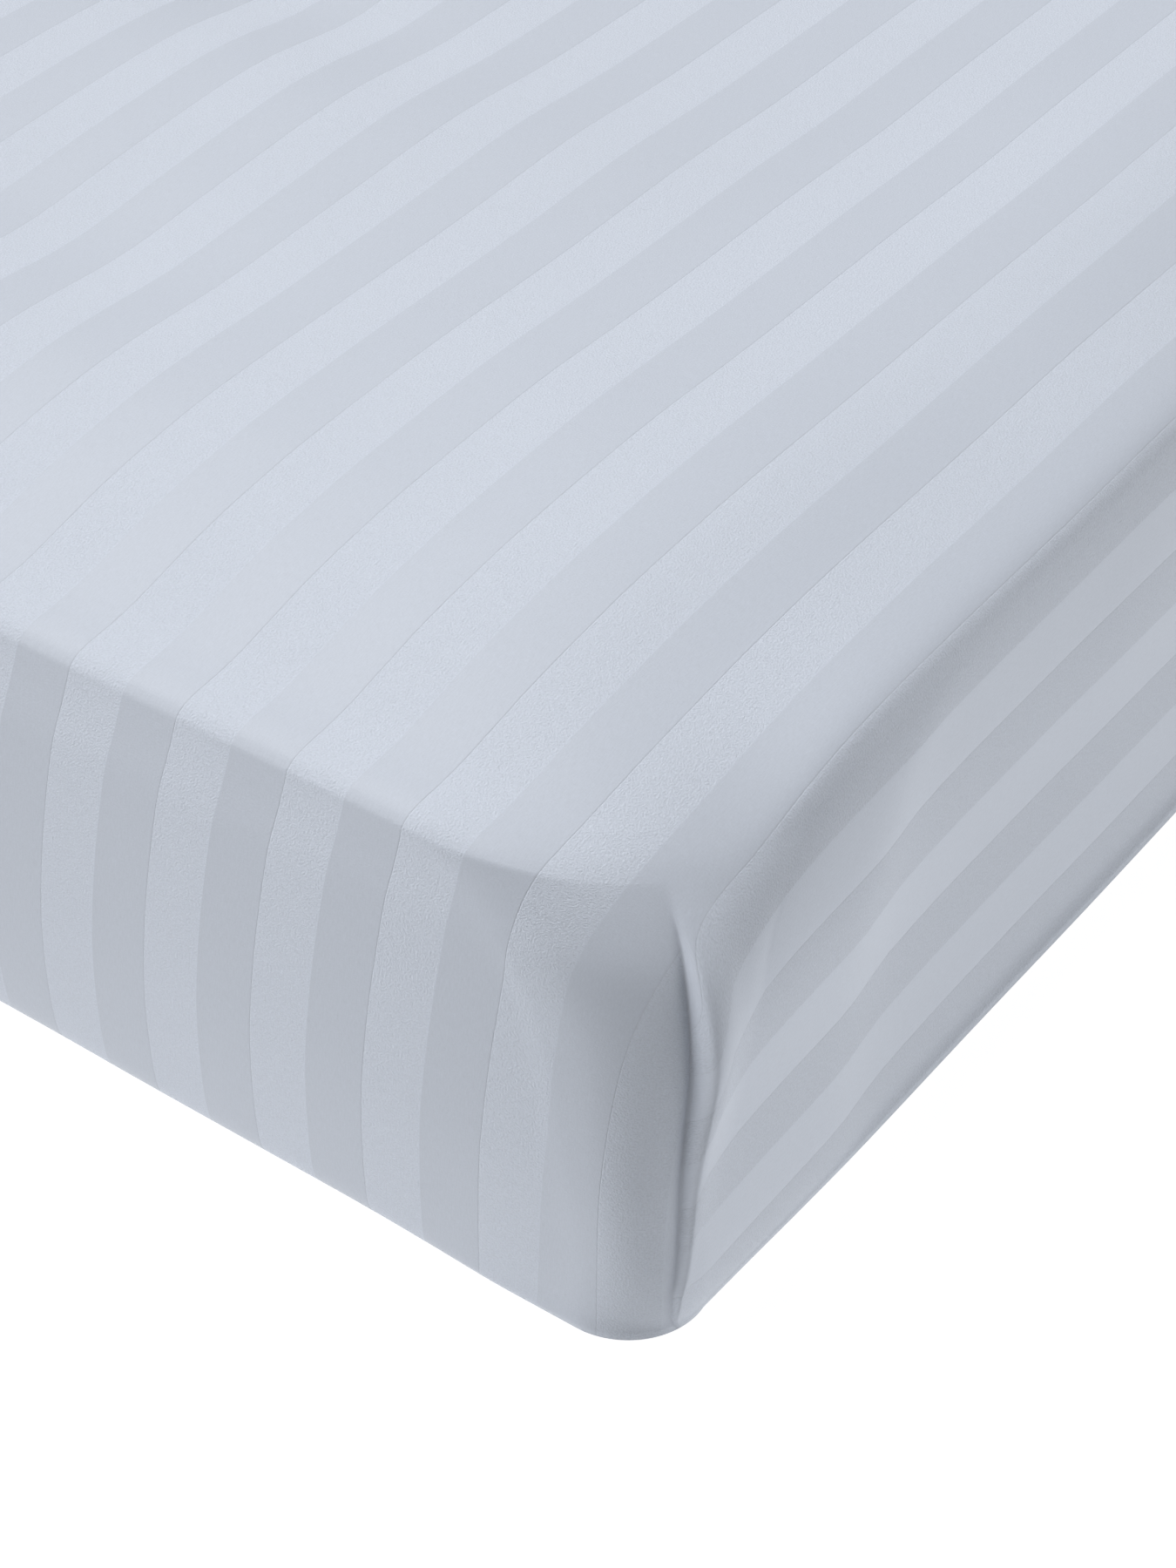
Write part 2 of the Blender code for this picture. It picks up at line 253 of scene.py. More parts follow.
ROLL = (
    # past: cloth length past the crease, towards the long side; along: where it lies along the wall
    # out: how far it stands out from the wall
    # past, along, out
    (-0.0500, -0.0500, 0.0000),
    (-0.0300, -0.0300, 0.0000),
    (-0.0150, -0.0149, 0.0000),
    (-0.0060, -0.0058, -0.0002),
    (-0.0020, -0.0018, -0.0006),
    (0.0000, 0.0000, -0.0009),
    (0.0014, 0.0006, 0.0006),
    (0.0034, 0.0020, 0.0027),
    (0.0060, 0.0044, 0.0036),
    (0.0095, 0.0079, 0.0035),
    (0.0130, 0.0115, 0.0030),
    (0.0165, 0.0152, 0.0023),
    (0.0200, 0.0189, 0.0016),
    (0.0250, 0.0243, 0.0009),
    (0.0320, 0.0317, 0.0004),
    (0.0420, 0.0419, 0.0001),
    (0.0600, 0.0600, 0.0000),
)
SWELL = (
    # along the side from the corner's arc, how far the wall stands out there
    (-0.0400, 0.0058),
    (0.0000, 0.0056),
    (0.0600, 0.0058),
    (0.0950, 0.0056),
    (0.1150, 0.0044),
    (0.1350, 0.0014),
    (0.1550, -0.0004),
    (0.2200, -0.0018),
    (0.2800, -0.0018),
    (0.3600, -0.0005),
    (0.4400, 0.0000),
)
END_SWELL = (
    # along the end from the corner's arc, how far the wall stands out there
    (0.0000, -0.0092),
    (0.0250, -0.0064),
    (0.0550, -0.0039),
    (0.0900, -0.0020),
    (0.1300, -0.0007),
    (0.1700, 0.0000),
)
SIDE_FLARE = (
    # along the side from the corner's arc, how far the outline at the floor stands out there
    (0.0000, -0.0074),
    (0.0300, -0.0064),
    (0.0750, -0.0046),
    (0.1250, -0.0031),
    (0.2300, -0.0021),
    (0.3500, -0.0005),
    (0.4400, 0.0000),
)
END_FLARE = (
    # along the end from the corner's arc, how far the outline at the floor stands out there
    (0.0000, 0.0000),
    (0.0400, 0.0000),
    (0.0900, -0.0019),
    (0.1250, -0.0031),
    (0.1800, -0.0040),
    (0.2600, -0.0052),
    (0.3400, -0.0076),
    (0.4200, -0.0082),
)
CORNER_DROP = (
    # inward from the rim of a rounded corner, drop below the plain corner
    (0.0000, 0.0044),
    (0.0040, 0.0031),
    (0.0090, 0.0019),
    (0.0160, 0.0009),
    (0.0260, 0.0002),
    (0.0400, 0.0000),
)
CORNER_FADE = 0.022  # length down the wall over which the corner's drop fades
ROLL_OUT = 2  # the column of ROLL that says how far it stands out
ROLL_RIDGE = 0.016  # from a crease to the far side of its roll
SWELL_RISE = 0.007  # from a crease to the full swell of the side
END_SWELL_TURN = (0.2, 0.9)  # shares of a corner's turn over which the end's swell sets in
SLANT_DEPTH = (0.010, 0.060)  # depths over which the stripes on a roll begin to slant
CALM = 0.72  # greatest share by which the stripes' contrast, partly painted sheen, fades by a crease, a painted stand-in for the slanting light there
CALM_END = 0.075  # how far that reaches on the end wall
CALM_SIDE = 0.030  # and on the side wall
CALM_DEPTH = 0.030  # depth at which it is full
ROLL_SHARES = (
    # side of the bed in x, end of the bed in y, share of the roll's height
    (1, -1, 1.00),
    (-1, -1, 0.72),
    (1, 1, 0.66),
    (-1, 1, 0.80),
)


@dataclass
class Stations:
    """Grid lines over the bed, and the loop that its border makes.

    A line from 0 to 1 is a share of the straight part of one half, and from 1 to 2 a share of its
    rounded corner, so that any two such grids of one bed fit each other.
    """

    across: Array
    along: Array

    @classmethod
    def graded(
        cls, straight: tuple[float, float], corner: tuple[int, int], step: tuple[float, float]
    ) -> Stations:
        """Lay lines that are closest at the rim and the corners.

        Args:
            straight: Half the straight part of the width and of the length.
            corner: Intervals of a corner, across and along the bed.
            step: Smallest and largest step on the straight parts.

        Returns:
            The stations, from -2 to 2 both ways.
        """
        lines = []
        for length, count in zip(straight, corner):
            plain = 1.0 - graded(length, step[0], step[1], STEP_GROWTH)[::-1] / length
            close = 2.0 - (1.0 - np.arange(1, count + 1) / count) ** CORNER_CROWDING
            half = np.concatenate((plain, close))
            lines.append(np.concatenate((-half[:0:-1], half)))
        return cls(lines[0], lines[1])

    def grid(self) -> tuple[Array, Array]:
        """Stations of every grid point, as two arrays with the lines across the bed first."""
        return tuple(np.meshgrid(self.across, self.along, indexing="ij"))

    def loop(self) -> tuple[Array, Array]:
        """Line numbers of the border, once round from the foot end's left corner.

        Returns:
            Numbers across and along: the foot end, the right side, the head end, the left side.
        """
        last_x, last_y = len(self.across) - 1, len(self.along) - 1
        foot, side = np.arange(last_x), np.arange(last_y)
        over = np.concatenate((foot, np.full(last_y, last_x), last_x - foot, np.zeros(last_y, int)))
        up = np.concatenate((np.zeros(last_x, int), side, np.full(last_x, last_y), last_y - side))
        return over, up

    def quads(self, levels: int, closed: bool) -> Array:
        """Faces of the grid and of the levels that its border is carried down.

        The grid's points come first, then the loop's points level by level, and then, on a closed
        shape, the inner points of the same grid again.

        Args:
            levels: Levels below the rim.
            closed: Whether the last level is filled with the grid.

        Returns:
            Four point numbers a face, turned to face outwards.
        """
        width, depth = len(self.across), len(self.along)
        number = np.arange(width * depth).reshape(width, depth)
        over, up = self.loop()
        count = len(over)
        ring = np.arange(levels * count).reshape(levels, count) + width * depth
        ring = np.vstack((number[over, up], ring))
        after = np.roll(ring, -1, axis=1)
        wall = np.stack((ring[:-1], ring[1:], after[1:], after[:-1]), axis=-1)
        parts = [cells(number), wall.reshape(-1, 4)]
        if closed:
            inner = np.arange((width - 2) * (depth - 2)).reshape(width - 2, depth - 2)
            under = np.zeros((width, depth), int)
            under[1:-1, 1:-1] = inner + width * depth + levels * count
            under[over, up] = ring[-1]
            parts.append(cells(under)[:, (0, 3, 2, 1)])
        return np.vstack(parts)


@dataclass
class BedForm:
    """The made-up bed: a crowned top, uneven walls and four corners with a roll beside a crease."""

    half_width: float
    half_length: float
    top: float = 0.2440
    drop_power: float = 1.4
    end_gather: float = 0.130
    side_gather: float = 0.200
    drift_reach: float = 0.090
    roll_slant: float = 2.6

    @property
    def rim(self) -> tuple[float, float, float]:
        """Half width, half length and corner radius of the rim of the top."""
        _, _, side_in, foot_in, radius, *_ = WALL[0]
        return self.half_width - side_in, self.half_length - foot_in, radius

    @property
    def straight(self) -> tuple[float, float]:
        """Half the straight part of the rim, across and along the bed."""
        half_x, half_y, radius = self.rim
        return half_x - radius, half_y - radius

    def height(self, x: Array, y: Array) -> Array:
        """Height of the top.

        The drops towards the nearest end and the nearest side add as a power mean, and so do the
        soft waves, each a bell that is mostly longer across the bed than along it.

        Args:
            x: Places across the bed.
            y: Places along it.

        Returns:
            Heights above the floor.
        """
        half_x, half_y, _ = self.rim
        in_x, in_y = half_x - np.abs(x), half_y - np.abs(y)
        end_drop = curve(END_DROP, in_y)
        side_drop = curve(SIDE_DROP, in_x)
        power = self.drop_power
        drop = (end_drop**power + side_drop**power) ** (1.0 / power)
        waves = np.zeros_like(x)
        for wave_x, wave_y, length, width, turn, rise in WAVES:
            angle = math.radians(turn)
            along = (x - wave_x) * math.cos(angle) + (y - wave_y) * math.sin(angle)
            across = (y - wave_y) * math.cos(angle) - (x - wave_x) * math.sin(angle)
            waves += rise * np.exp(-((along / length) ** 2) - (across / width) ** 2)
        return self.top - drop + waves

    def corner_drop(self, x: Array, y: Array) -> Array:
        """Softening of the rim in a rounded corner.

        The drop is read by the distance r - hypot(a, b) from the corner's arc, with a and b the
        distances past its middle, and times 2ab / (a^2 + b^2), so it fades out where the arc ends.

        Args:
            x: Places across the bed.
            y: Places along it.

        Returns:
            Drops below the height of the top.
        """
        half_x, half_y, radius = self.rim
        past_x = np.maximum(np.abs(x) - half_x + radius, 0.0)
        past_y = np.maximum(np.abs(y) - half_y + radius, 0.0)
        far = np.maximum(np.hypot(past_x, past_y), 1e-9)
        return curve(CORNER_DROP, radius - far) * 2.0 * past_x * past_y / far**2

    def plan(
        self, over: Array, up: Array, half_x: float, half_y: float, radius: float
    ) -> tuple[Array, Array]:
        """Places of stations inside a rounded rectangle.

        A corner's square of shares a, b becomes a quarter disc: a * sqrt(1 - b^2 / 2) across and
        b * sqrt(1 - a^2 / 2) along, times the radius.

        Args:
            over: Stations across.
            up: Stations along.
            half_x: Half the rectangle's width.
            half_y: Half its length.
            radius: Its corner's radius.

        Returns:
            Places across and along the bed.
        """
        corner_x = np.clip(np.abs(over) - 1.0, 0.0, 1.0)
        corner_y = np.clip(np.abs(up) - 1.0, 0.0, 1.0)
        x = np.minimum(np.abs(over), 1.0) * (half_x - radius)
        y = np.minimum(np.abs(up), 1.0) * (half_y - radius)
        x = x + radius * corner_x * np.sqrt(1.0 - corner_y**2 / 2.0)
        y = y + radius * corner_y * np.sqrt(1.0 - corner_x**2 / 2.0)
        return np.copysign(x, over), np.copysign(y, up)

    def girth(self, x: Array) -> Array:
        """Cloth length across the bed, from its middle line over the crown's shoulder.

        It is x plus the running sum of how much longer each short piece of the side's section is
        than it looks from above.

        Args:
            x: Places across the bed, up to the rim.

        Returns:
            Lengths of cloth, with the sign of x.
        """
        inward = np.linspace(SIDE_DROP[-1][0], 0.0, GIRTH_SAMPLES)
        drop = curve(SIDE_DROP, inward)
        extra = np.hypot(np.diff(inward), np.diff(drop)) - np.abs(np.diff(inward))
        extra = np.concatenate(([0.0], np.cumsum(extra)))
        return x + np.sign(x) * np.interp(self.rim[0] - np.abs(x), inward[::-1], extra[::-1])

    def top_points(self, stations: Stations) -> Array:
        """Points of the top, as an array of lines across, lines along, and coordinates."""
        x, y = self.plan(*stations.grid(), *self.rim)
        return np.stack((x, y, self.height(x, y) - self.corner_drop(x, y)), axis=-1)


@dataclass
class WallCloth:
    """Cloth of the walls and the turned-in edge, level by level below the rim of the top.

    A place round the walls is measured from the nearest corner: s is 0 where the long side meets
    the corner's arc, negative along the side, and r * pi / 2 where the arc meets the end wall.
    """

    form: BedForm
    stations: Stations
    down: Array
    rolled: bool = True
    columns: dict[str, Array] = field(default_factory=dict)

    def __post_init__(self) -> None:
        """Read the loop's stations and the wall's section once."""
        over_number, up_number = self.stations.loop()
        over, up = self.stations.across[over_number], self.stations.along[up_number]
        share_x = np.clip(np.abs(over) - 1.0, 0.0, 1.0)
        share_y = np.clip(np.abs(up) - 1.0, 0.0, 1.0)
        on_side = np.abs(over) >= 2.0
        angle_side = np.arcsin(share_y * math.sqrt(0.5))
        angle_end = QUARTER - np.arcsin(share_x * math.sqrt(0.5))
        rim_x, rim_y = self.form.plan(over, up, *self.form.rim)
        self.columns = {
            "rim_x": rim_x,
            "rim_y": rim_y,
            "sign_x": np.where(over < 0.0, -1.0, 1.0),
            "sign_y": np.where(up < 0.0, -1.0, 1.0),
            "angle": np.where(on_side, angle_side, angle_end),
            "side_share": np.where(on_side, np.clip(1.0 - np.abs(up), 0.0, 1.0), 0.0),
            "end_share": np.where(on_side, 0.0, np.clip(1.0 - np.abs(over), 0.0, 1.0)),
        }

    def read(self, column: Column) -> Array:
        """One column of the wall's table at every level, as a column of numbers."""
        return curve(WALL, self.down, column)[:, None]

    def measures(self) -> tuple[Array, Array, Array]:
        """Half width, half length and corner radius of each level's outline."""
        half_x = self.form.half_width - self.read(Column.SIDE_IN)
        half_y = self.form.half_length - self.read(Column.FOOT_IN)
        return half_x, half_y, self.read(Column.RADIUS)

    def place(self) -> tuple[Array, Array]:
        """Place round the walls of each level's points, and of its crease.

        Between the corners the points keep their share of the straight part, and in a corner their
        angle.  Near a crease they drift along with it, so that one column runs down it: by its own
        drift times exp(-2 (d / reach)^2), with d the distance to the crease at the rim.

        Returns:
            Places s of all points, and of the crease, level by level.
        """
        half_x, half_y, radius = self.measures()
        part = self.columns
        s = radius * part["angle"] - part["side_share"] * (half_y - radius)
        s = s + part["end_share"] * (half_x - radius)
        crease = radius * self.read(Column.CREASE)
        column_crease = radius * WALL[0][Column.CREASE]
        reach = self.form.drift_reach
        bell = np.exp(-(((s - column_crease) / reach) ** 2) * 2.0)
        return s + (crease - column_crease) * bell, crease

    def points(self) -> Array:
        """Points of the walls.

        On each level the point at s lies on a rounded rectangle.  Past a crease the roll's section
        moves it along the wall and out from it, by the level's share.  The wall's heights follow
        the height of the rim above, less the corner's drop times exp(-down / fade).

        Returns:
            An array of levels, columns and coordinates.
        """
        half_x, half_y, radius = self.measures()
        part = self.columns
        s, crease = self.place()
        arc = radius * QUARTER
        turned = np.clip(s / radius, 0.0, QUARTER) / QUARTER
        from_side = curve(SIDE_FLARE, -s)
        from_end = curve(END_FLARE, s - arc)
        out = self.read(Column.FLARE) * (from_side * (1.0 - turned) + from_end * turned)
        share = np.zeros_like(part["angle"])
        for side, end, height in ROLL_SHARES:
            share = np.where((part["sign_x"] == side) & (part["sign_y"] == end), height, share)
        spread, swell = self.read(Column.SPREAD), self.read(Column.SWELL)
        past = (crease - s) / spread
        out = out + swell * share * curve(SWELL, -s) * smoothstep(past, 0.0, SWELL_RISE)
        turned_in = curve(END_SWELL, s - arc) * smoothstep(turned, *END_SWELL_TURN)
        out = out + swell * turned_in
        roll = self.read(Column.ROLL) * share
        lift = roll * curve(ROLL, past, ROLL_OUT)
        if self.rolled:
            on_roll = (past > ROLL[0][0]) & (past < ROLL[-1][0])
            moved = crease - spread * np.where(on_roll, curve(ROLL, past), past)
            s = s + np.minimum(roll, 1.0) * (moved - s)
            out = out + lift
        else:
            out = out + np.minimum(lift, 0.0)
        angle = np.clip(s / radius, 0.0, QUARTER)
        x = half_x - radius + (radius + out) * np.cos(angle) - np.maximum(s - arc, 0.0)
        y = half_y - radius + (radius + out) * np.sin(angle) + np.minimum(s, 0.0)
        height = self.read(Column.HEIGHT) * self.form.height(part["rim_x"], part["rim_y"])
        height = height / WALL[0][Column.HEIGHT]
        fade = np.exp(-self.down / CORNER_FADE)[:, None]
        height = height - self.form.corner_drop(part["rim_x"], part["rim_y"]) * fade
        return np.stack((x * part["sign_x"], y * part["sign_y"], height + 0.0 * x), axis=-1)

    def cloth_places(self, panel: Panel) -> Array:
        """Flat coordinates of the walls' cloth, as if all of it were cut in one with one panel.

        On an end wall the stripes run down, so the first coordinate goes from x at the rim to the
        length round the corner further down, and the second one grows with depth.  On a side wall
        the two change places, and between the crease and the roll's ridge the stripes slant down.

        Args:
            panel: The panel that the cloth is cut in one with.

        Returns:
            An array of levels, columns and the two coordinates.
        """
        half_x, half_y, radius = self.measures()
        part = self.columns
        s, crease = self.place()
        gather = self.form.end_gather if panel is Panel.END else self.form.side_gather
        blend = smoothstep(self.down, 0.0, gather)[:, None]
        angle = np.clip(s / radius, 0.0, QUARTER)
        rim_x, rim_y, _ = self.form.rim
        arc = radius * QUARTER
        if panel is Panel.END:
            x = half_x - radius + radius * np.cos(angle) - np.maximum(s - arc, 0.0)
            round_x = half_x - radius + arc - s
            u = (1.0 - blend) * self.form.girth(x) + blend * round_x
            rim_v = np.abs(part["rim_y"])
            v = rim_v + (rim_y - rim_v) * blend + self.fallen(Column.FOOT_IN)[:, None]
        else:
            y = half_y - radius + radius * np.sin(angle) + np.minimum(s, 0.0)
            round_y = half_y - radius + s
            v = (1.0 - blend) * y + blend * round_y
            rim_u = self.form.girth(np.abs(part["rim_x"]))
            u = rim_u + (self.form.girth(np.array(rim_x)) - rim_u) * blend
            u = u + self.fallen(Column.SIDE_IN)[:, None]
            before = np.clip(self.read(Column.SPREAD) * ROLL_RIDGE - (crease - s), 0.0, None)
            u = u - self.form.roll_slant * before * smoothstep(self.down, *SLANT_DEPTH)[:, None]
        return np.stack((u * part["sign_x"], v * part["sign_y"]), axis=-1)

    def calm(self) -> Array:
        """Share by which the stripes fade in the slanting light round a corner, level by level.

        It is a bell exp(-(d / reach)^2) over the distance d to the crease, wider on the end wall
        than on the side wall, and rises from 0 at the rim.
        """
        s, crease = self.place()
        away = s - crease
        bell = np.exp(-((away / np.where(away > 0.0, CALM_END, CALM_SIDE)) ** 2))
        return CALM * bell * smoothstep(self.down, 0.0, CALM_DEPTH)[:, None]

    def fallen(self, column: Column) -> Array:
        """Length of cloth from the rim down to each level, along one wall's section."""
        height, inset = self.read(Column.HEIGHT)[:, 0], self.read(column)[:, 0]
        return np.concatenate(([0.0], np.cumsum(np.hypot(np.diff(height), np.diff(inset)))))

    def panels(self) -> Array:
        """Whether each stretch between two columns belongs to a side panel, in the loop's order."""
        angle, share = self.columns["angle"], self.columns["side_share"]
        past = (share > 0.0) | (angle < WALL[0][Column.CREASE] - 1e-6)
        return past | np.roll(past, -1)


def mesh_object(name: str, points: Array, quads: Array) -> bpy.types.Object:
    """Make an object of four-sided faces, smooth shaded, at the origin.

    Args:
        name: Name of the object and its mesh.
        points: Coordinates, one row a point.
        quads: Point numbers, four a face.

    Returns:
        The object, linked into the scene.
    """
    mesh = bpy.data.meshes.new(name)
    mesh.vertices.add(len(points))
    mesh.vertices.foreach_set("co", points.astype(np.float32).ravel())
    mesh.loops.add(quads.size)
    mesh.loops.foreach_set("vertex_index", quads.astype(np.int32).ravel())
    mesh.polygons.add(len(quads))
    mesh.polygons.foreach_set("loop_start", np.arange(0, quads.size, 4, dtype=np.int32))
    mesh.update(calc_edges=True)
    mesh.shade_smooth()
    body = bpy.data.objects.new(name, mesh)
    bpy.context.scene.collection.objects.link(body)
    return body


# ---- nodes ----
@dataclass
class Graph:
    """Short ways to add nodes to a tree."""

    tree: bpy.types.NodeTree

    def node(self, kind: str, **values: object) -> bpy.types.Node:
        """Add a node and set its properties."""
        node = self.tree.nodes.new(kind)
        for name, value in values.items():
            setattr(node, name, value)
        return node

    def feed(self, socket: Socket, value: object) -> None:
        """Link another node's output to a socket, or set the socket's own value."""
        if isinstance(value, Socket):
            self.tree.links.new(value, socket)
        else:
            socket.default_value = value

    def fill(self, node: bpy.types.Node, values: dict[str, object]) -> None:
        """Feed a node's sockets, by their names."""
        for name, value in values.items():
            self.feed(node.inputs[name], value)

    def math(self, operation: str, *values: object) -> Socket:
        """Add a Math node.

        Args:
            operation: The node's operation.
            values: Its inputs, each a number or an output.

        Returns:
            The node's output.
        """
        node = self.node("ShaderNodeMath", operation=operation)
        for socket, value in zip(node.inputs, values):
            self.feed(socket, value)
        return node.outputs[0]

    def fused(self, value: object, factor: object, more: object) -> Socket:
        """Multiply a value by a factor and add more."""
        return self.math("MULTIPLY_ADD", value, factor, more)

    def ramp(self, value: object, low: float, high: float, start: float, end: float) -> Socket:
        """Carry a value smoothly from one range to another.

        Args:
            value: The value's output.
            low: Value that gives start.
            high: Value that gives end.
            start: Result at low and below.
            end: Result at high and above.

        Returns:
            The Map Range node's output.
        """
        node = self.node("ShaderNodeMapRange", interpolation_type="SMOOTHSTEP")
        self.fill(node, {"Value": value, "From Min": low, "From Max": high})
        self.fill(node, {"To Min": start, "To Max": end})
        return node.outputs["Result"]

    def noise(self, vector: object, stretch: tuple[float, float, float], detail: float) -> Socket:
        """Add noise around 0.5.

        Args:
            vector: Coordinates.
            stretch: Grains to one unit of each.
            detail: Octaves of finer noise.

        Returns:
            The Noise Texture node's output.
        """
        scaled = self.node("ShaderNodeVectorMath", operation="MULTIPLY")
        self.feed(scaled.inputs[0], vector)
        scaled.inputs[1].default_value = stretch
        node = self.node("ShaderNodeTexNoise")
        self.fill(node, {"Vector": scaled.outputs[0], "Scale": 1.0, "Detail": detail})
        return node.outputs["Fac"]

    def scaled(self, vector: object, factor: object) -> Socket:
        """Scale a vector, given as an output or as three numbers, by a factor."""
        node = self.node("ShaderNodeVectorMath", operation="SCALE")
        self.feed(node.inputs[0], vector)
        self.feed(node.inputs["Scale"], factor)
        return node.outputs[0]

    def bump(self, shader: bpy.types.Node, height: object, distance: float) -> None:
        """Feed a shader's Normal from a height that rises by the distance, at half strength."""
        node = self.node("ShaderNodeBump")
        self.fill(node, {"Strength": 0.5, "Distance": distance, "Height": height})
        self.feed(shader.inputs["Normal"], node.outputs["Normal"])


def new_group(
    name: str, takes: tuple[str, ...], gives: tuple[str, ...]
) -> tuple[bpy.types.NodeTree, Graph]:
    """Start a shader node group with named sockets.

    Args:
        name: Name of the group.
        takes: Inputs; the first one is a vector and the others are numbers.
        gives: Outputs, all numbers.

    Returns:
        The group and its graph.
    """
    tree = bpy.data.node_groups.new(name, "ShaderNodeTree")
    for number, socket in enumerate(takes):
        kind = "NodeSocketFloat" if number else "NodeSocketVector"
        tree.interface.new_socket(socket, in_out="INPUT", socket_type=kind)
    for socket in gives:
        tree.interface.new_socket(socket, in_out="OUTPUT", socket_type="NodeSocketFloat")
    tree.nodes.new("NodeGroupInput")
    tree.nodes.new("NodeGroupOutput")
    return tree, Graph(tree)


def grain_group() -> bpy.types.NodeTree:
    """Grain of a woven surface: pebbles, and threads drawn out along the warp, both about 0."""
    tree, graph = new_group("woven_grain", ("Place", "Grains"), ("Pebble", "Thread"))
    given = tree.nodes["Group Input"].outputs
    scaled = graph.scaled(given["Place"], given["Grains"])
    pebble = graph.noise(scaled, (1.0, 1.0, 1.0), 2.0)
    thread = graph.noise(scaled, (1.6, 0.22, 1.0), 1.0)
    taken = tree.nodes["Group Output"].inputs
    for name, value in (("Pebble", pebble), ("Thread", thread)):
        centred = graph.math("SUBTRACT", value, 0.5)
        graph.feed(taken[name], graph.math("MULTIPLY", centred, GRAIN_GAIN))
    return tree


def start_material(name: str) -> tuple[bpy.types.Material, Graph, bpy.types.Node]:
    """Start a material.

    Args:
        name: Its name.

    Returns:
        The material, its graph and its Principled BSDF.
    """
    material = bpy.data.materials.new(name)
    material.use_nodes = True
    return material, Graph(material.node_tree), material.node_tree.nodes["Principled BSDF"]


